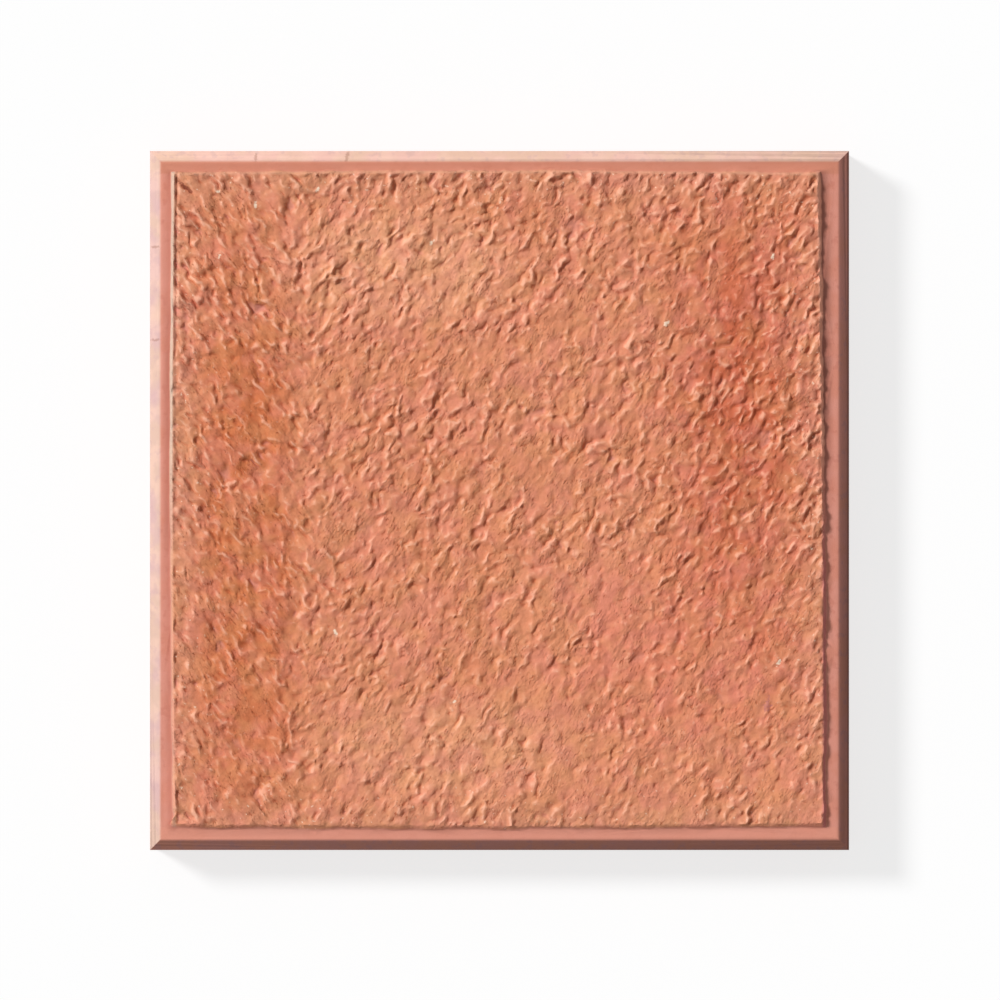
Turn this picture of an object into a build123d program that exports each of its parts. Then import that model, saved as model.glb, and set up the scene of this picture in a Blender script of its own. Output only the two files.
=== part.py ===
from build123d import *
from math import atan2, ceil, cos, degrees, pi, radians, sin, sqrt, tan
import os

# A cast square paving tile whose face is a raised, bush-hammered panel inside a smooth margin.
# Millimetres. The origin is the middle of the underside, +X to the right, +Y to the back, +Z up.

# The slab
side = 400.0                 # plan size, over the upright faces
margin_height = 37.0         # underside to the smooth margin
arris_width = 6.2            # bevel round the face, across the tile
arris_drop = 5.0             # the same bevel, down the upright face
arris_roll = 5.0             # radius where the bevel rolls over into the margin
underside_ease = 1.0         # eased edge round the underside

# The foot of the panel's wall, at its corners, from the nearest upright face
margin_left_at_back = 12.1
margin_left_at_front = 12.8
margin_right_at_back = 16.6
margin_right_at_front = 13.2
margin_front_at_left = 12.3
margin_front_at_right = 12.9
margin_back = 12.0
panel_bow = 1.3              # how far each side of the panel bows out at its middle

# The panel
panel_rise = 3.0             # mean height of the hammered face above the margin
wall_lean = 35.0             # lean of the panel's wall from upright, in degrees
front_wall_lean = 45.0       # the same at the front, where the wall is gentler
panel_root = 5.0             # how far the panel runs down into the slab

# The hammered face: broad humps and hollows, as waves that cross one another
hump_relief = 0.38           # usual height of a hump above the mean
shortest_wave = 22.0         # from hump to hump, where they lie closest
longest_wave = 60.0          # from hump to hump, where they lie furthest apart
wave_count = 9
points_in_wave = 4           # points that the skin is lofted through in the shortest wave

half = side / 2
golden_turn = pi * (3 - sqrt(5))


def make_slab():
    """A square body under a tapered cap, whose four slopes are the mitred bevel."""
    square = Rectangle(side, side)
    bevel_lean = degrees(atan2(arris_width, arris_drop))
    body = extrude(square, margin_height - arris_drop)
    cap = extrude(Pos(0, 0, margin_height - arris_drop) * square, arris_drop, taper=bevel_lean)
    slab = body + cap
    slab = fillet(slab.edges().group_by(Axis.Z)[-1], arris_roll)
    return chamfer(slab.edges().group_by(Axis.Z)[0], underside_ease)


def mix(first, second, share):
    """A value part of the way from the first to the second."""
    return first + (second - first) * share


def panel_point(across, along, level):
    """A point of the panel's bowed plan, at shares of its width and depth, for a level above the margin."""
    inset = level * tan(radians(wall_lean))
    front_inset = level * tan(radians(front_wall_lean))
    left = mix(margin_left_at_front, margin_left_at_back, along) + inset - half
    right = half - inset - mix(margin_right_at_front, margin_right_at_back, along)
    front = mix(margin_front_at_left, margin_front_at_right, across) + front_inset - half
    back = half - inset - margin_back
    bow_along = 4 * panel_bow * along * (1 - along)
    bow_across = 4 * panel_bow * across * (1 - across)
    x = mix(left, right, across) + (2 * across - 1) * bow_along
    y = mix(front, back, along) + (2 * along - 1) * bow_across
    return Vector(x, y, margin_height + level)


def hump(x, y):
    """Height of the hammered face above its mean, from waves that each run a golden turn from the last."""
    height = 0
    for wave in range(wave_count):
        length = mix(shortest_wave, longest_wave, wave / wave_count)
        run = x * cos(wave * golden_turn) + y * sin(wave * golden_turn)
        height += sin(2 * pi * run / length + wave * wave)
    return hump_relief * height * sqrt(2 / wave_count)


def hammered_face():
    """A smooth skin over the panel, lofted from front to back through wavy sections."""
    sections = ceil(points_in_wave * side / shortest_wave)
    stations = [step / sections for step in range(sections + 1)]
    wires = []
    for along in stations:
        plan = [panel_point(across, along, panel_rise) for across in stations]
        waves = [point + Vector(0, 0, hump(point.X, point.Y)) for point in plan]
        wires.append(Wire([Edge.make_spline(waves, parameters=stations)]))
    return Shell.make_loft(wires).face()


def panel_base():
    """The outline of the panel's root: four arcs between its corners."""
    turns = [(0, 0), (0.5, 0), (1, 0), (1, 0.5), (1, 1), (0.5, 1), (0, 1), (0, 0.5), (0, 0)]
    points = [panel_point(across, along, -panel_root) for across, along in turns]
    return Wire([ThreePointArc(*points[start:start + 3]).edge() for start in range(0, len(turns) - 1, 2)])


def make_panel():
    """The hammered face, closed by leaning walls and the flat of its root."""
    face = hammered_face()
    base = panel_base()
    walls = Shell.make_loft([base, face.outer_wire()], ruled=True)
    return Solid(Shell([face, *walls.faces(), Face(base)]))


tile = make_slab() + make_panel()
tile.label = "tile"

os.makedirs("parts", exist_ok=True)
export_step(tile, "parts/tile.step")
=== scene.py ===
import math
import bpy
import numpy as np
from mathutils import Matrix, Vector
from mathutils.bvhtree import BVHTree


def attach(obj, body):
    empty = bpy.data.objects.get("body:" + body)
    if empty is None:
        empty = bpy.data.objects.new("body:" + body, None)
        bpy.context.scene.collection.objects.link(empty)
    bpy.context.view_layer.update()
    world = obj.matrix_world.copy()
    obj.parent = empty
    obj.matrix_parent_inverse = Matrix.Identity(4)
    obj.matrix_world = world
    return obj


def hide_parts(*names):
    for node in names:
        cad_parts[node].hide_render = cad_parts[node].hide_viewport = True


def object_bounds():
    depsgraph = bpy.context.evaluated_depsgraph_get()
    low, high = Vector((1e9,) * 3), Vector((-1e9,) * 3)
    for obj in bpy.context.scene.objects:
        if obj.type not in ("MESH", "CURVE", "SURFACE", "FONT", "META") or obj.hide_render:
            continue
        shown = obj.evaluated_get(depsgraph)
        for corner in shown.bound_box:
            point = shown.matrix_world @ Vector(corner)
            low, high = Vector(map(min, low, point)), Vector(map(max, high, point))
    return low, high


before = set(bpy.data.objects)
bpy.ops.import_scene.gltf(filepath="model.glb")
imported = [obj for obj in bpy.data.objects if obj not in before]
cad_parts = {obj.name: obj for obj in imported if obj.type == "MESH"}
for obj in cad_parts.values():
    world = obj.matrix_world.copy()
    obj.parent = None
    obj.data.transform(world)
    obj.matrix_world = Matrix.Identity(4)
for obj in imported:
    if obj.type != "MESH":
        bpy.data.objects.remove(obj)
cad_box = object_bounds()

# Lengths are metres, written as millimetres times mm.
mm = 0.001

# The slab and its panel, as the solid has them
half = cad_box[1].x
margin_height = 37 * mm
arris_width = 6.2 * mm
arris_drop = 5 * mm
arris_roll = 5 * mm
underside_ease = 1 * mm
margin_left = (12.8 * mm, 12.1 * mm)     # at the front, at the back
margin_right = (13.2 * mm, 16.6 * mm)
margin_front = (12.3 * mm, 12.9 * mm)    # at the left, at the right
margin_back = 12.0 * mm
panel_bow = 1.3 * mm
panel_rise = 3 * mm
wall_lean = math.radians(35)             # from upright
front_wall_lean = math.radians(45)
wall_width = panel_rise * math.tan(wall_lean)
front_wall_width = panel_rise * math.tan(front_wall_lean)
bevel_lean = math.atan2(arris_drop, arris_width)
roll_end = arris_width + arris_roll * math.tan(bevel_lean / 2)
foot_of_bevel = margin_height - arris_drop

# The mesh
bevel_lines = 12                         # grid lines across the bevel
margin_lines = 10
wall_lines = 7
on_panel = 3                             # the stretch of the grid between the panel's rims
grading_steps = 4000
fine_spacing = 0.34 * mm                 # between grid lines beside the panel's walls
panel_spacing = 0.62 * mm                # between grid lines over the rest of the panel
fine_reach = 7 * mm
most_triangles = 196000
sharp_turn = math.radians(48)            # an edge that turns more is drawn sharp

# The photograph, 1000 pixels square
photo_size = 1000
tile_middle = (499.5, 500.5)             # pixels
tile_width = 699
pixel = 2 * half / tile_width

# The strokes of the hammer
stroke_sizes = ((6.5, 0.54), (3.8, 0.60), (2.1, 0.52), (1.2, 0.20))    # width and height in millimetres
stroke_stretch = 1.5                     # length for each width
stretch_at_left = 2.0                    # the same at the left of the face
stroke_push = 0.2                        # how far a crest leans away from the light, for each height
lie_on_rest = 58                         # degrees from +X
lie_at_left = 130
stroke_waver = 1.4 * mm
fine_waver = 0.8 * mm
broadest_stroke = 8.5                    # in grid lines: broader hills are the solid's own
edge_zone = 26 * mm                      # along the panel's rim the strokes are stronger

# The left of the face, where the strokes lie the other way
left_end = -128 * mm
left_fade = 44 * mm
left_waver = 20 * mm

# Small gouges, strewn over the face
small_gouges = 1000
small_gouge_spread = 0.95                # of the tile's half width
small_gouge_runs = (1.2, 3.8)            # half length, half width and depth in millimetres
small_gouge_widths = (0.5, 0.9)
small_gouge_depth = (0.1, 0.3)           # the least, and the most that chance adds to it
small_gouge_turn = 0.35                  # radians about the lie of the strokes
small_gouge_left = -110 * mm             # those beyond it lie as the strokes at the left do

# The dark groove just inside the left rim
crevice_row = 300                        # of the photograph: it is open from here to the back
crevice_inset = 1.5 * mm
crevice_depth = 1.1 * mm
crevice_sides = (0.7 * mm, 1.2 * mm)     # its reach towards the rim, and away from it

# The cavity and the slope to the key light, which the material reads as painted shade and painted highlight
hollow_depth = 0.2 * mm
hollow_share = 0.7
tilt_share = 2.6
most_tilt = 0.8
most_cavity = 3

# Marks that stand out on the face, by the pixels of the photograph where they start and end
gouges = (
    # start, end, half width and depth in millimetres
    ((176, 180), (194, 195), 1.1, 1.4),
    ((817, 177), (803, 195), 0.7, 1.0),
    ((387, 633), (373, 664), 0.5, 0.9),
    ((521, 321), (501, 343), 0.6, 0.8),
    ((772, 707), (762, 722), 0.6, 0.8),
    ((380, 577), (369, 591), 0.5, 0.8),
    ((364, 631), (349, 640), 0.5, 0.6),
    ((417, 679), (394, 688), 0.5, 0.5),
    ((442, 694), (427, 703), 0.5, 0.5),
    ((244, 575), (255, 586), 0.5, 0.7),
    ((178, 629), (190, 642), 0.5, 0.8),
    ((237, 585), (239, 609), 0.5, 0.6),
    ((208, 583), (210, 596), 0.5, 0.6),
    ((186, 564), (188, 583), 0.5, 0.8),
    ((191, 500), (197, 514), 0.6, 0.7),
    ((293, 189), (305, 207), 0.6, 0.8),
    ((213, 195), (220, 197), 0.6, 0.8),
    ((191, 228), (190, 247), 0.5, 0.7),
    ((254, 270), (259, 284), 0.5, 0.7),
    ((245, 203), (247, 224), 0.5, 0.7),
)
chips = (
    # middle, half length and half width in millimetres, and the turn of the length in degrees
    ((219, 257), 2.0, 1.2, 60),
    ((772, 257), 2.2, 1.2, 75),
    ((666, 324), 2.6, 1.6, 40),
    ((336, 632), 2.4, 1.4, 110),
    ((219, 192), 1.8, 1.0, 0),
    ((256, 205), 2.6, 1.2, 95),
    ((318, 190), 2.0, 1.1, 60),
    ((778, 662), 2.4, 1.3, 70),
    ((432, 243), 2.0, 1.2, 50),
    ((455, 701), 1.7, 1.0, 55),
)
# Painted shade over the deep gouges at the two back corners
gouge_shade_marks = (
    # middle, half length and half width in millimetres, and the turn of the length in degrees
    ((186, 188), 7.0, 1.3, -40),
    ((190, 191), 3.4, 1.6, -50),
    ((810, 186), 6.0, 1.0, 52),
)
ticks = (
    # middle, half length and half width in millimetres, and the turn of the length in degrees
    ((347, 158), 4.8, 1.3, 80),
    ((256, 158), 3.8, 1.0, 88),
    ((156, 247), 3.8, 1.0, 0),
    ((156, 340), 3.8, 1.0, 3),
)

# Broad patches of the field: middle in pixels, and half sizes in millimetres
field_patches = (
    ((400, 265), 95, 46),                # pale
    ((440, 750), 100, 44),               # pale, low on the face
    ((240, 690), 62, 85),                # darker, low at the left
    ((680, 650), 95, 75),                # ruddy
)
# Broad bands of the field: middle and reach across the tile, then along it, in millimetres
field_bands = (
    (-144, 38, -10, 200),                # at the left
    (138, 62, 55, 210),                  # at the right
)
purple_mark = ((767, 704), 5, 2.6, 75)   # as the chips above

# Light and camera
key_azimuth = math.radians(150)          # from +X towards +Y
key_height = math.radians(38)
key_share = 0.68                         # the rest comes from all round
key_softness = math.radians(13)
floor_white = 0.96
lens = 250


def smooth(t):
    """0 to 1 with no corner at either end."""
    t = np.clip(t, 0, 1)
    return t * t * (3 - 2 * t)


def mix(a, b, t):
    return a + (b - a) * t


def linear(red, green, blue):
    """A colour as the eye reads it, from 0 to 255, in the linear values that a shader takes."""
    parts = [value / 255 for value in (red, green, blue)]
    return [part / 12.92 if part < 0.04045 else ((part + 0.055) / 1.055) ** 2.4 for part in parts] + [1]


def from_photo(column, row):
    """The point of the face that a pixel of the photograph shows."""
    return (column - tile_middle[0]) * pixel, (tile_middle[1] - row) * pixel


# The grid: its lines follow the bevel, the foot and rim of the panel's bowed walls, and the panel

def graded(length):
    """Shares of a length, close together near its two ends."""
    samples = np.linspace(0, length, grading_steps)
    to_end = np.minimum(samples, length - samples)
    spacing = mix(fine_spacing, panel_spacing, smooth(to_end / fine_reach))
    count = np.concatenate([[0], np.cumsum(np.diff(samples) / spacing[1:])])
    return np.interp(np.linspace(0, count[-1], round(count[-1]) + 1), count, samples) / length


def grid_lines():
    """Each line's stretch between two knots, and its share of that stretch."""
    shares = [np.linspace(0, 1, lines) for lines in (bevel_lines, margin_lines, wall_lines)]
    shares = shares + [graded(2 * half - 2 * margin_back)] + shares[::-1]
    last = len(shares) - 1
    stretch = np.concatenate([np.full(len(part) - 1, index) for index, part in enumerate(shares)] + [[last]])
    share = np.concatenate([part[:-1] for part in shares] + [[1]])
    return stretch.astype(int), share


def knots(low, high, bow, low_wall):
    """Outer face, end of the bevel's roll, foot and rim of the wall, and back out to the other face."""
    foot_low = low - half - bow
    foot_high = half - high + bow
    even = np.ones_like(foot_low)
    return np.array([
        -half * even, (roll_end - half) * even, foot_low, foot_low + low_wall,
        foot_high - wall_width, foot_high, (half - roll_end) * even, half * even,
    ])


def make_grid():
    """Places of the grid's points, and how far each lies inside the rim of every wall."""
    stretch, share = grid_lines()
    across = np.where(stretch < on_panel, 0, np.where(stretch > on_panel, 1, share))
    bow = 4 * panel_bow * across * (1 - across)
    x_knots = knots(mix(*margin_left, across), mix(*margin_right, across), bow, wall_width)
    y_knots = knots(mix(*margin_front, across), margin_back, bow, front_wall_width)
    x = mix(x_knots[stretch], x_knots[stretch + 1], share[:, None]).T
    y = mix(y_knots[stretch], y_knots[stretch + 1], share[:, None])
    from_rims = {
        "left": x - x_knots[on_panel][:, None], "right": x_knots[on_panel + 1][:, None] - x,
        "front": y - y_knots[on_panel], "back": y_knots[on_panel + 1] - y,
    }
    return x, y, from_rims


def cad_heights(x, y):
    """Height of the solid's face under each grid point."""
    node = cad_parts["tile"]
    tree = BVHTree.FromObject(node, bpy.context.evaluated_depsgraph_get())
    inside = 1 - 1e-5                    # so that no ray runs along an outer face
    down = Vector((0, 0, -1))
    above = 2 * cad_box[1].z
    heights = [
        tree.ray_cast(Vector((a * inside, b * inside, above)), down)[0].z
        for a, b in zip(x.flat, y.flat)
    ]
    return np.array(heights).reshape(x.shape)


def blur(field, size):
    """A soft copy of a field over the grid, size in grid lines."""
    reach = int(3 * size) + 1
    weights = np.exp(-0.5 * (np.arange(-reach, reach + 1) / size) ** 2)
    weights /= weights.sum()
    for axis in (0, 1):
        padded = np.pad(field, [(reach, reach) if axis == side else (0, 0) for side in (0, 1)], mode="edge")
        count = field.shape[axis]
        field = sum(
            weight * (padded[start:start + count] if axis == 0 else padded[:, start:start + count])
            for start, weight in enumerate(weights)
        )
    return field


# The relief

def noise(x, y, size, seed):
    """Smooth random hills and hollows about as wide as size, from -1 to 1."""
    reach = 1.5 * half                   # past the corners, because places are turned
    lattice = np.random.default_rng(seed).uniform(-1, 1, (math.ceil(2 * reach / size) + 4,) * 2)
    u = (x + reach) / size + 1
    v = (y + reach) / size + 1
    i = np.clip(np.floor(u).astype(int), 0, len(lattice) - 2)
    j = np.clip(np.floor(v).astype(int), 0, len(lattice) - 2)
    f = smooth(u - i)
    g = smooth(v - j)
    low = mix(lattice[j, i], lattice[j, i + 1], f)
    high = mix(lattice[j + 1, i], lattice[j + 1, i + 1], f)
    return mix(low, high, g)


def drawn_out(x, y, lie, stretch, size, seed):
    """The same hills, drawn out along a lie in degrees from +X."""
    turn = math.radians(lie)
    run = (x * math.cos(turn) + y * math.sin(turn)) / stretch
    over = x * math.sin(turn) - y * math.cos(turn)
    return noise(run, over, size, seed)


def strokes_at(x, y, at_left):
    """The hammer's strokes of every size, lying one way at the left of the face and another elsewhere."""
    total = 0
    for index, (size, height) in enumerate(stroke_sizes):
        right = drawn_out(x, y, lie_on_rest, stroke_stretch, size * mm, 31 + index)
        left = drawn_out(x, y, lie_at_left, stretch_at_left, size * mm, 41 + index)
        total = total + height * mm * mix(right, left, at_left)
    # Where the two lies meet, their mean would be too flat
    return total / np.sqrt(at_left ** 2 + (1 - at_left) ** 2)


def gouge(field, place, warped, start, end, width, depth):
    """Cuts a short tapered groove, a little gentler on the side that the light falls on."""
    x, y = place
    middle = ((start[0] + end[0]) / 2, (start[1] + end[1]) / 2)
    run = math.hypot(end[0] - start[0], end[1] - start[1]) / 2
    turn = math.atan2(end[1] - start[1], end[0] - start[0])
    reach = run + 4 * width + 2 * mm
    row = slice(*np.searchsorted(y[:, y.shape[1] // 2], (middle[1] - reach, middle[1] + reach)))
    column = slice(*np.searchsorted(x[x.shape[0] // 2], (middle[0] - reach, middle[0] + reach)))
    dx = warped[0][row, column] - middle[0]
    dy = warped[1][row, column] - middle[1]
    along = (dx * math.cos(turn) + dy * math.sin(turn)) / (run + width)
    across = dx * math.sin(turn) - dy * math.cos(turn)
    if math.sin(turn) < 0:
        across = -across
    taper = np.clip(1 - along ** 2, 0, 1)
    across = across / (np.where(across < 0, width, 1.5 * width) * (0.4 + 0.6 * taper))
    field[row, column] -= depth * np.exp(-across ** 2) * taper


def strew_gouges(relief, place, warped):
    """Cuts the small gouges, which lie about as the strokes do."""
    draws = np.random.default_rng(53)
    least, added = small_gouge_depth
    for _ in range(small_gouges):
        spot = draws.uniform(-half, half, 2) * small_gouge_spread
        run = draws.uniform(*small_gouge_runs) * mm
        lie = lie_at_left if spot[0] < small_gouge_left else lie_on_rest
        turn = math.radians(lie) + draws.normal(0, small_gouge_turn)
        offset = (run * math.cos(turn), run * math.sin(turn))
        depth = least + added * draws.uniform(0, 1) ** 2
        width = draws.uniform(*small_gouge_widths)
        gouge(relief, place, warped, spot - offset, spot + offset, width * mm, depth * mm)


def hammered(x, y, inside):
    """The relief that the hammer left, about its mean. Strokes are steep on the side away from the light."""
    change = x - left_end + left_waver * noise(x, y, 38 * mm, 25)
    at_left = 1 - smooth(change / left_fade)
    near_edge = 1 - smooth(inside / edge_zone)
    u = x + stroke_waver * noise(x, y, 8 * mm, 21) + fine_waver * noise(x, y, 3.1 * mm, 22)
    v = y + stroke_waver * noise(x, y, 8 * mm, 23) + fine_waver * noise(x, y, 3.1 * mm, 24)
    relief = strokes_at(u, v, at_left)
    for _ in range(3):
        back_x = stroke_push * relief * math.cos(key_azimuth)
        back_y = stroke_push * relief * math.sin(key_azimuth)
        relief = mix(relief, strokes_at(u + back_x, v + back_y, at_left), 0.6)
    relief -= blur(relief, broadest_stroke)
    rough = 0.75 + 0.35 * noise(x, y, 11 * mm, 51) + 0.25 * noise(x, y, 31 * mm, 52)
    relief *= 0.4 + np.clip(rough, 0, 1.3)
    strew_gouges(relief, (x, y), (u, v))
    # Livelier towards the back, at the left and along the rim
    upwards = smooth((y + 190 * mm) / (380 * mm))
    relief *= (0.86 + 0.3 * upwards) * (1 + 0.24 * at_left) * (1 + 0.22 * near_edge)
    for start, end, width, depth in gouges:
        gouge(relief, (x, y), (x, y), from_photo(*start), from_photo(*end), width * mm, depth * mm)
    return relief


def left_crevice(x, y, from_left):
    """The dark groove just inside the left rim: open at the back, broken further to the front."""
    back = smooth((y - from_photo(0, crevice_row)[1]) / (12 * mm))
    broken = smooth(3 * noise(x, y, 7 * mm, 61) - 0.2)
    strength = np.maximum(back, 0.6 * broken) * (1 + 0.3 * noise(x, y, 5 * mm, 62))
    across = from_left - crevice_inset
    return crevice_depth * strength * np.exp(-(across / np.where(across < 0, *crevice_sides)) ** 2)


def tilt(x, y, relief):
    """How steeply the relief rises towards the key light at the back left. The material paints shade where
    it rises and highlight where it falls.
    """
    slope_x = np.gradient(relief, axis=1) / np.gradient(x, axis=1)
    slope_y = np.gradient(relief, axis=0) / np.gradient(y, axis=0)
    rise = slope_x * math.cos(key_azimuth) + slope_y * math.sin(key_azimuth)
    return np.clip(rise, -most_tilt, most_tilt)


def ragged_walls(x, y, from_rims):
    """How far the walls' line breaks in and out along its length, most of all on the right."""
    reach = {"left": 0.15 * mm, "right": 0.75 * mm, "front": 0.35 * mm, "back": 0.7 * mm}
    moved_x = np.zeros_like(x)
    moved_y = np.zeros_like(y)
    for seed, (name, inward) in enumerate(from_rims.items()):
        wave = 0.6 * noise(x, y, 9 * mm, 71 + seed) + 0.7 * noise(x, y, 3 * mm, 81 + seed)
        near_rim = smooth(1 - (inward - 1 * mm) / (5 * mm))
        held = near_rim * smooth((inward + wall_width + 2.2 * mm) / (2.2 * mm))
        if name in ("left", "right"):
            moved_x += reach[name] * wave * held
        else:
            moved_y += reach[name] * wave * held
    return moved_x, moved_y


x, y, from_rims = make_grid()
base = cad_heights(x, y)
inside = np.minimum.reduce(list(from_rims.values()))
base = np.where(inside > 0, mix(base, blur(base, 4), smooth(inside / (6 * mm))), base)
settle = smooth((inside + 1.2 * mm) / (1.4 * mm))
relief = hammered(x, y, inside) - left_crevice(x, y, from_rims["left"])
height = base + relief * settle
# Painted shade below zero, in hollows and on sides that rise towards the key light; painted highlight above
# zero, on crests and on sides that fall towards it
shade_and_highlight = hollow_share * (relief - blur(relief, 2)) / hollow_depth - tilt_share * tilt(x, y, relief)
shade_and_highlight = np.clip(shade_and_highlight, -most_cavity, most_cavity) * smooth((inside + 0.4 * mm) / (0.8 * mm))
moved_x, moved_y = ragged_walls(x, y, from_rims)
x = x + moved_x
y = y + moved_y


def make_mesh():
    """The face over its grid, closed by the upright sides, the eased lower edge and the underside."""
    rows, columns = x.shape
    index = np.arange(rows * columns).reshape(rows, columns)
    border = np.concatenate([index[0, :-1], index[:-1, -1], index[-1, :0:-1], index[:0:-1, 0]])
    face = np.stack([x.ravel(), y.ravel(), height.ravel()], 1)
    lower = face[border] * [1, 1, 0] + [0, 0, underside_ease]
    flat = face[border] * [1 - underside_ease / half, 1 - underside_ease / half, 0]
    points = np.concatenate([face, lower, flat])
    count = len(border)
    first = rows * columns
    quads = [np.stack([index[:-1, :-1], index[:-1, 1:], index[1:, 1:], index[1:, :-1]], -1).reshape(-1, 4)]
    ring = np.arange(count)
    onward = (ring + 1) % count
    quads.append(np.stack([border[onward], border, first + ring, first + onward], 1))
    quads.append(np.stack([first + onward, first + ring, first + count + ring, first + count + onward], 1))
    quads = np.concatenate(quads)
    underside = first + count + ring[::-1]
    mesh = bpy.data.meshes.new("tile_body")
    mesh.vertices.add(len(points))
    mesh.vertices.foreach_set("co", points.ravel())
    mesh.loops.add(quads.size + count)
    mesh.loops.foreach_set("vertex_index", np.concatenate([quads.ravel(), underside]))
    mesh.polygons.add(len(quads) + 1)
    mesh.polygons.foreach_set("loop_start", np.arange(len(quads) + 1) * 4)
    mesh.update(calc_edges=True)
    mesh.validate()
    # Painted shade and painted highlight for the material, a value for each point of the face
    values = np.zeros(len(points), np.float32)
    values[:first] = shade_and_highlight.ravel()
    mesh.attributes.new("shade_and_highlight", "FLOAT", "POINT").data.foreach_set("value", values)
    return mesh


def thin_out(piece):
    """Fewer triangles where the face is plain, so that the count stays under the limit."""
    total = sum(len(face.vertices) - 2 for face in piece.data.polygons)
    thinner = piece.modifiers.new("thinner", "DECIMATE")
    thinner.ratio = most_triangles / total
    thinner.use_collapse_triangulate = True
    shape = piece.evaluated_get(bpy.context.evaluated_depsgraph_get())
    mesh = bpy.data.meshes.new_from_object(shape)
    piece.modifiers.clear()
    piece.data = mesh


tile_body = bpy.data.objects.new("tile_body", make_mesh())
bpy.context.scene.collection.objects.link(tile_body)
thin_out(tile_body)
tile_body.data.shade_smooth()
tile_body.data.set_sharp_from_angle(angle=sharp_turn)


# Materials

class Shader:
    """A material's nodes, joined by short calls."""

    def __init__(self, name):
        self.material = bpy.data.materials.new(name)
        self.material.use_nodes = True
        self.tree = self.material.node_tree
        self.surface = self.tree.nodes["Principled BSDF"]
        self.place = self.tree.nodes.new("ShaderNodeTexCoord").outputs["Object"]

    def node(self, kind, inputs, **settings):
        made = self.tree.nodes.new(kind)
        for name, value in settings.items():
            setattr(made, name, value)
        for name, value in inputs.items():
            if isinstance(value, bpy.types.NodeSocket):
                self.tree.links.new(value, made.inputs[name])
            else:
                made.inputs[name].default_value = value
        return made

    def math(self, operation, first, second=0.0):
        return self.node("ShaderNodeMath", {0: first, 1: second}, operation=operation).outputs[0]

    def remap(self, value, low, high, to_low=0.0, to_high=1.0):
        inputs = {"Value": value, "From Min": low, "From Max": high, "To Min": to_low, "To Max": to_high}
        return self.node("ShaderNodeMapRange", inputs, interpolation_type="SMOOTHSTEP").outputs["Result"]

    def noise(self, size, detail, place=None):
        """A noise texture whose hills are about size wide."""
        inputs = {"Vector": place or self.place, "Scale": 1 / size, "Detail": detail, "Roughness": 0.55}
        return self.node("ShaderNodeTexNoise", inputs).outputs["Fac"]

    def streaks(self, width, length, lie, detail):
        """A noise texture drawn out along a lie, in degrees from +X."""
        turn = math.radians(lie)
        inputs = {"Vector": self.place, "Rotation": (0, 0, turn), "Scale": (length / width, 1, 1)}
        place = self.node("ShaderNodeMapping", inputs, vector_type="TEXTURE").outputs["Vector"]
        return self.noise(width, detail, place)

    def band(self, value, middle, reach):
        """1 where a value is near its middle, fading to 0 at its reach on both sides."""
        apart = self.math("ABSOLUTE", self.math("SUBTRACT", value, middle))
        return self.remap(apart, reach, 0.1 * reach)

    def spot(self, middle, along, across, turn=0.0, waver=0.0):
        """1 in the middle of an oval patch of the face, fading to 0 at its rim. It takes half sizes."""
        inputs = {"Vector": self.place, "Location": (*middle, 0), "Rotation": (0, 0, math.radians(turn)),
                  "Scale": (along, across, 1)}
        place = self.node("ShaderNodeMapping", inputs, vector_type="TEXTURE").outputs["Vector"]
        apart = self.node("ShaderNodeVectorMath", {0: place}, operation="LENGTH").outputs["Value"]
        return self.remap(self.math("ADD", apart, waver), 1.0, 0.35)

    def spots(self, marks, waver):
        """1 on every mark of a list of middles, half sizes and turns."""
        total = 0.0
        for middle, along, across, turn in marks:
            spot = self.spot(from_photo(*middle), along * mm, across * mm, turn, waver)
            total = self.math("MAXIMUM", total, spot)
        return total

    def blend(self, amount, under, over):
        made = self.node("ShaderNodeMix", {0: amount}, data_type="RGBA")
        for socket, value in ((made.inputs[6], under), (made.inputs[7], over)):
            if isinstance(value, bpy.types.NodeSocket):
                self.tree.links.new(value, socket)
            else:
                socket.default_value = value
        return made.outputs[2]

    def tint(self, under, mask, share, tone):
        """Lays a share of a tone on a colour, where the mask is 1."""
        return self.blend(self.math("MULTIPLY", mask, share), under, linear(*tone))


def along_strokes(look, leftmost, width, length, detail):
    """Streaks that lie as the hammer's strokes do, at the left and on the rest."""
    rest = look.streaks(width, length, lie_on_rest, detail)
    left = look.streaks(width, length, lie_at_left, detail)
    return look.node("ShaderNodeMix", {0: leftmost, 2: rest, 3: left}).outputs[0]


def foot_line(look, run, low, high, sign):
    """Where a wall's foot lies across the tile, at each place along it, from low to high and bowed out."""
    share = look.math("DIVIDE", look.math("ADD", run, half - margin_back), 2 * half - 2 * margin_back)
    left_over = look.math("SUBTRACT", 1.0, share)
    bow = look.math("MULTIPLY", look.math("MULTIPLY", share, left_over), 4 * panel_bow)
    inset = look.math("ADD", look.math("MULTIPLY", share, high - low), low)
    inset = look.math("SUBTRACT", inset, bow)
    return look.math("MULTIPLY", look.math("SUBTRACT", half, inset), sign)


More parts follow.
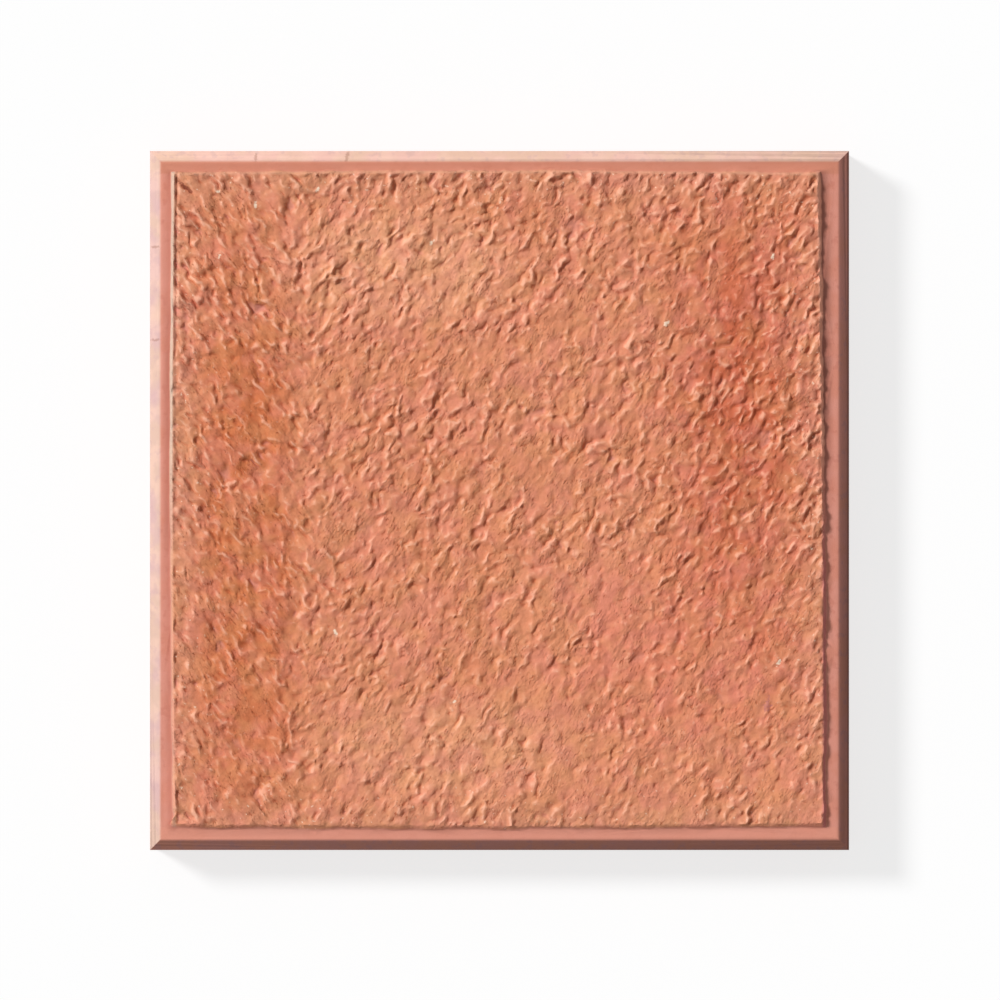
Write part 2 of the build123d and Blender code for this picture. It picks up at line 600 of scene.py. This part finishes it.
def concrete():
    """Terracotta-coloured concrete: mottled field, pinker margin, bevels pale or dull by wear and painted
    light, painted shade and highlight in hollows, on crests and at the walls.
    """
    look = Shader("hammered_concrete")
    axes = look.node("ShaderNodeSeparateXYZ", {0: look.place})
    side_x, side_y, level = axes.outputs
    from_left = look.math("ADD", side_x, half)
    from_right = look.math("SUBTRACT", half, side_x)
    from_front = look.math("ADD", side_y, half)
    from_back = look.math("SUBTRACT", half, side_y)
    from_face = look.math("MINIMUM", look.math("MINIMUM", from_left, from_right),
                          look.math("MINIMUM", from_front, from_back))
    # Painted shade below zero and painted highlight above zero, as the mesh carries them
    shade_and_highlight_at = look.node("ShaderNodeAttribute", {}, attribute_name="shade_and_highlight").outputs["Fac"]
    stains = look.remap(look.noise(70 * mm, 1), 0.36, 0.64)
    mottle = look.remap(look.noise(17 * mm, 2), 0.38, 0.62)
    patches = look.remap(look.noise(12 * mm, 2), 0.42, 0.62)
    specks = look.remap(look.noise(1.8 * mm, 3), 0.3, 0.7)
    leftmost = look.math("ADD", side_x, look.math("MULTIPLY", stains, 24 * mm))
    leftmost = look.remap(leftmost, -85 * mm, -120 * mm)

    # Broad tones of the field
    left_band, right_band = [
        look.math("MULTIPLY", look.band(side_x, across * mm, reach_across * mm),
                  look.band(side_y, along * mm, reach_along * mm))
        for across, reach_across, along, reach_along in field_bands
    ]
    pale_patch, low_patch, low_left, ruddy = [
        look.spot(from_photo(*middle), along * mm, across * mm) for middle, along, across in field_patches
    ]
    by_rim = look.remap(from_face, 34 * mm, 16 * mm)
    field = look.blend(look.math("MULTIPLY", stains, 0.6), linear(216, 136, 100), linear(222, 145, 109))
    field = look.tint(field, low_left, 0.7, (210, 124, 90))
    field = look.tint(field, ruddy, 0.7, (222, 130, 103))
    # The left band is laid on twice, so that it fades over a shorter way
    field = look.tint(field, left_band, 0.9, (200, 111, 66))
    field = look.blend(left_band, field, linear(204, 116, 73))
    field = look.blend(right_band, field, linear(199, 102, 71))
    pale = look.math("MAXIMUM", pale_patch, look.math("MULTIPLY", low_patch, 0.7))
    field = look.tint(field, pale, 0.9, (232, 164, 126))
    field = look.tint(field, by_rim, 0.5, (208, 146, 118))

    # Mottling, with painted shade in hollows and painted highlight on crests
    field = look.tint(field, mottle, 0.38, (222, 136, 120))
    field = look.tint(field, patches, 0.32, (217, 150, 102))
    field = look.tint(field, specks, 0.22, (194, 114, 80))
    busy = look.remap(look.noise(13 * mm, 2), 0.4, 0.62, 0.3, 1.0)
    strokes = look.remap(along_strokes(look, leftmost, 1.3 * mm, 3.6 * mm, 2), 0.6, 0.7)
    strokes = look.math("MULTIPLY", strokes, busy)
    # Painted shade in hollows and on sides turned from the key light, painted highlight on crests and sides
    # facing it
    hollow_shade = look.remap(shade_and_highlight_at, -0.3, -2.4)
    crest_highlight = look.remap(shade_and_highlight_at, 0.3, 2.4)
    field = look.tint(field, crest_highlight, 0.5, (244, 190, 162))
    # Darker red-brown along the grooves of the strokes: painted shade in the grooves
    field = look.tint(field, strokes, 0.6, (170, 76, 40))
    field = look.tint(field, hollow_shade, 0.5, (176, 74, 36))
    waver = look.math("MULTIPLY", look.math("SUBTRACT", look.noise(1.4 * mm, 1), 0.5), 2.0)
    scattered = look.remap(look.noise(2.2 * mm, 1), 0.7, 0.76)
    scattered = look.math("MULTIPLY", scattered, look.remap(from_face, 48 * mm, 18 * mm, 0.25, 1.0))
    cream = look.math("MAXIMUM", look.spots(chips, waver), look.math("MULTIPLY", scattered, 0.6))
    field = look.tint(field, cream, 0.9, (248, 222, 196))
    # Painted shade over the deep gouges at the two back corners
    gouge_shade = look.spots(gouge_shade_marks, waver)
    field = look.tint(field, gouge_shade, 0.75, (120, 56, 40))
    middle, along, across, turn = purple_mark
    purple = look.spot(from_photo(*middle), along * mm, across * mm, turn, waver)
    field = look.tint(field, purple, 0.6, (176, 108, 108))

    # The smooth margin, with painted shade at the foot of the left wall and painted shadow beside the right
    # one
    beside_walls = look.remap(look.math("ABSOLUTE", side_y), half - 10 * mm, half - 13 * mm)
    beyond_left = look.math("SUBTRACT", foot_line(look, side_y, *margin_left, -1.0), side_x)
    beyond_right = look.math("SUBTRACT", side_x, foot_line(look, side_y, *margin_right, 1.0))
    behind = look.math("SUBTRACT", side_y, foot_line(look, side_x, margin_back, margin_back, 1.0))
    at_back = look.remap(side_y, half - 14 * mm, half - 12.5 * mm)
    at_front = look.remap(side_y, 14 * mm - half, 12.5 * mm - half)
    worn_spots = look.remap(look.noise(5 * mm, 2), 0.54, 0.68)
    margin = look.blend(look.math("MULTIPLY", mottle, 0.6), linear(213, 142, 124), linear(208, 132, 109))
    margin = look.tint(margin, patches, 0.3, (222, 152, 136))
    margin = look.tint(margin, worn_spots, 0.4, (192, 116, 98))
    margin = look.tint(margin, at_back, 0.75, (201, 130, 105))
    margin = look.tint(margin, at_front, 0.75, (220, 147, 126))
    # Painted shade in the corner at the foot of the left wall
    left_foot_shade = look.math("MULTIPLY", look.band(beyond_left, 0, 4.4 * mm), beside_walls)
    left_foot_shade = look.math("MULTIPLY", left_foot_shade, look.remap(look.band(side_y, 37 * mm, 105 * mm), 0, 1, 0.6, 0.85))
    margin = look.blend(left_foot_shade, margin, linear(176, 107, 90))
    # Painted shadow of the right wall on the margin, stronger towards the back
    right_wall_shadow = look.math("MULTIPLY", look.band(beyond_right, 0, 6 * mm), beside_walls)
    right_wall_shadow = look.math("MULTIPLY", right_wall_shadow, look.remap(side_y, -60 * mm, 60 * mm, 0.0, 0.7))
    margin = look.blend(right_wall_shadow, margin, linear(152, 94, 80))
    on_field = look.remap(level, margin_height + 0.4 * mm, margin_height + 2.2 * mm)
    colour = look.blend(on_field, margin, field)

    # Painted light on the walls: highlight on the lit left and back walls, shade in the groove inside the
    # left rim, and on the right wall light towards the back and shade towards the front
    off_margin = look.remap(level, margin_height + 0.2 * mm, margin_height + 1 * mm)
    towards_back = look.remap(side_y, -60 * mm, 60 * mm)
    # Painted highlight on the lit left wall, stronger towards the back
    left_wall_highlight = look.math("MULTIPLY", look.band(beyond_left, -1.2 * mm, 2.1 * mm), off_margin)
    left_wall_highlight = look.math("MULTIPLY", left_wall_highlight, look.remap(towards_back, 0, 1, 0.26, 0.85))
    colour = look.blend(left_wall_highlight, colour, linear(202, 180, 161))
    # Painted shade in the groove just inside the left rim, towards the back
    crevice_shade = look.math("MULTIPLY", look.band(beyond_left, -3.5 * mm, 1.1 * mm), towards_back)
    crevice_shade = look.math("MULTIPLY", crevice_shade, off_margin)
    colour = look.tint(colour, crevice_shade, 0.35, (150, 108, 94))
    # Painted highlight on the lit back wall
    back_wall_highlight = look.math("MULTIPLY", look.band(behind, -1.5 * mm, 1.7 * mm), off_margin)
    colour = look.tint(colour, back_wall_highlight, 0.3, (214, 170, 142))
    # The right wall faces away from the key light: painted light on it towards the back, painted shade
    # towards the front
    right_wall = look.math("MULTIPLY", look.band(beyond_right, -1.0 * mm, 2.4 * mm), off_margin)
    colour = look.blend(look.math("MULTIPLY", right_wall, look.math("MULTIPLY", towards_back, 0.7)), colour,
                        linear(240, 172, 146))
    right_shade = look.math("MULTIPLY", right_wall, look.remap(towards_back, 1, 0, 0, 0.7))
    colour = look.blend(right_shade, colour, linear(180, 104, 108))

    # The bevel, pale on the left and at the back and dull on the other two sides: partly wear, partly
    # painted highlight where the key light falls and painted shade where it does not
    to_shaded_side = look.math("MINIMUM", from_right, from_front)
    to_lit_side = look.math("MINIMUM", from_left, from_back)
    lit = look.remap(look.math("SUBTRACT", to_shaded_side, to_lit_side), -0.2 * mm, 0.2 * mm)
    upright = look.math("SUBTRACT", look.math("MINIMUM", from_front, from_back),
                        look.math("MINIMUM", from_left, from_right))
    upright = look.remap(upright, -0.2 * mm, 0.2 * mm)
    cloudy = look.remap(look.noise(22 * mm, 2), 0.38, 0.62)
    # Worn pale tone with painted highlight, on the two bevels that face the key light
    lit_worn_bevel = look.blend(upright, linear(225, 180, 167), linear(204, 168, 164))
    lit_worn_bevel = look.tint(lit_worn_bevel, cloudy, 0.5, (214, 182, 152))
    lit_worn_bevel = look.tint(lit_worn_bevel, patches, 0.35, (236, 196, 178))
    lit_worn_bevel = look.tint(lit_worn_bevel, worn_spots, 0.35, (196, 160, 158))
    lit_worn_bevel = look.blend(look.math("MULTIPLY", look.spots(ticks, waver), 0.45), lit_worn_bevel, linear(150, 100, 84))
    # Dull tone with painted shade, on the two bevels turned from the key light
    shaded_dull_bevel = look.blend(upright, linear(141, 95, 86), linear(152, 101, 91))
    shaded_dull_bevel = look.tint(shaded_dull_bevel, cloudy, 0.5, (148, 96, 76))
    shaded_dull_bevel = look.tint(shaded_dull_bevel, worn_spots, 0.4, (126, 92, 94))
    # Painted shade along the outermost strip of the right bevel
    outer_edge_shade = look.remap(from_right, 1.7 * mm, 0.5 * mm)
    shaded_dull_bevel = look.tint(shaded_dull_bevel, outer_edge_shade, 0.65, (96, 56, 48))
    bevel = look.blend(lit, shaded_dull_bevel, lit_worn_bevel)
    on_bevel = look.remap(from_face, arris_width + 0.8 * mm, arris_width - 1.0 * mm)
    above_foot = look.remap(level, foot_of_bevel - 0.6 * mm, foot_of_bevel + 0.2 * mm)
    on_bevel = look.math("MULTIPLY", on_bevel, above_foot)
    colour = look.blend(on_bevel, colour, bevel)

    # The upright faces and the underside, as they left the mould
    moulded = look.remap(level, foot_of_bevel + 0.2 * mm, foot_of_bevel - 0.6 * mm)
    cast = look.blend(cloudy, linear(196, 124, 102), linear(206, 136, 114))
    cast = look.tint(cast, specks, 0.35, (178, 108, 86))
    pores = look.remap(look.noise(1.3 * mm, 0), 0.7, 0.76)
    cast = look.tint(cast, pores, 0.7, (118, 66, 50))
    colour = look.blend(moulded, colour, cast)
    look.tree.links.new(colour, look.surface.inputs["Base Color"])
    look.surface.inputs["Specular IOR Level"].default_value = 0.2
    rough = look.remap(specks, 0, 1, 0.82, 0.95)
    look.tree.links.new(rough, look.surface.inputs["Roughness"])

    # Grain, too fine for the mesh
    leaning = along_strokes(look, leftmost, 1.3 * mm, 2.4 * mm, 4)
    leaning = look.math("MULTIPLY", look.math("MULTIPLY", leaning, busy), 2.0)
    leaning = look.math("SUBTRACT", leaning, look.math("MULTIPLY", strokes, 0.7))
    above_margin = look.remap(level, margin_height + 0.5 * mm, margin_height + 2 * mm)
    grain = look.math("MULTIPLY", leaning, above_margin)
    grain = look.math("ADD", grain, look.math("MULTIPLY", look.noise(0.9 * mm, 2), 0.35))
    grain = look.math("SUBTRACT", grain, look.math("MULTIPLY", look.math("MULTIPLY", pores, moulded), 0.8))
    bump = look.node("ShaderNodeBump", {"Height": grain, "Distance": 0.45 * mm, "Strength": 1.0})
    look.tree.links.new(bump.outputs["Normal"], look.surface.inputs["Normal"])
    return look.material


tile_body.data.materials.clear()
tile_body.data.materials.append(concrete())
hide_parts("tile")
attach(tile_body, "root")


# Floor, light and camera

def seen_directly(tree):
    """1 for what the camera, a gloss or a glass sees, and 0 for the light that falls on the object."""
    path = tree.nodes.new("ShaderNodeLightPath")
    total = path.outputs["Is Camera Ray"]
    for name in ("Is Glossy Ray", "Is Transmission Ray"):
        added = tree.nodes.new("ShaderNodeMath")
        added.operation = "MAXIMUM"
        tree.links.new(total, added.inputs[0])
        tree.links.new(path.outputs[name], added.inputs[1])
        total = added.outputs[0]
    return total


def make_floor():
    """A plain pale floor, near white to the eye, which keeps the tile's soft shadow."""
    reach = 6.0
    own_white = 0.75
    mesh = bpy.data.meshes.new("floor")
    corners = [(-reach, -reach, 0), (reach, -reach, 0), (reach, reach, 0), (-reach, reach, 0)]
    mesh.from_pydata(corners, [], [(0, 1, 2, 3)])
    floor = bpy.data.objects.new("floor", mesh)
    bpy.context.scene.collection.objects.link(floor)
    material = bpy.data.materials.new("pale_floor")
    material.use_nodes = True
    tree = material.node_tree
    tree.nodes.clear()
    paint = tree.nodes.new("ShaderNodeBsdfDiffuse")
    paint.inputs["Color"].default_value = (floor_white, floor_white, floor_white, 1)
    glow = tree.nodes.new("ShaderNodeEmission")
    both = tree.nodes.new("ShaderNodeMixShader")
    share = tree.nodes.new("ShaderNodeMath")
    share.operation = "MULTIPLY"
    share.inputs[1].default_value = own_white
    tree.links.new(seen_directly(tree), share.inputs[0])
    tree.links.new(share.outputs[0], both.inputs[0])
    tree.links.new(paint.outputs[0], both.inputs[1])
    tree.links.new(glow.outputs[0], both.inputs[2])
    output = tree.nodes.new("ShaderNodeOutputMaterial")
    tree.links.new(both.outputs[0], output.inputs["Surface"])
    mesh.materials.append(material)


def make_light():
    """A soft key from the back left, and even light from all round."""
    towards = Vector((
        math.cos(key_height) * math.cos(key_azimuth),
        math.cos(key_height) * math.sin(key_azimuth),
        math.sin(key_height),
    ))
    lamp = bpy.data.lights.new("key", "SUN")
    lamp.energy = key_share * math.pi / math.sin(key_height)
    lamp.angle = key_softness
    key = bpy.data.objects.new("key", lamp)
    key.rotation_mode = "QUATERNION"
    key.rotation_quaternion = towards.to_track_quat("Z", "Y")
    bpy.context.scene.collection.objects.link(key)
    world = bpy.data.worlds.new("studio")
    bpy.context.scene.world = world
    world.use_nodes = True
    tree = world.node_tree
    background = tree.nodes["Background"]
    background.inputs["Color"].default_value = (1, 1, 1, 1)
    strength = tree.nodes.new("ShaderNodeMapRange")
    strength.inputs["To Min"].default_value = 1 - key_share
    strength.inputs["To Max"].default_value = 1
    tree.links.new(seen_directly(tree), strength.inputs["Value"])
    tree.links.new(strength.outputs["Result"], background.inputs["Strength"])


def make_camera():
    """Straight above the tile, from far away, as the photograph is taken."""
    view = bpy.data.cameras.new("camera")
    view.lens = lens
    camera = bpy.data.objects.new("camera", view)
    distance = photo_size * pixel * view.lens / view.sensor_width
    aside, ahead = from_photo(photo_size / 2, photo_size / 2)
    camera.location = (aside, ahead, foot_of_bevel + distance)
    bpy.context.scene.collection.objects.link(camera)
    bpy.context.scene.camera = camera


make_floor()
make_light()
make_camera()
bpy.context.scene.view_settings.view_transform = "Standard"
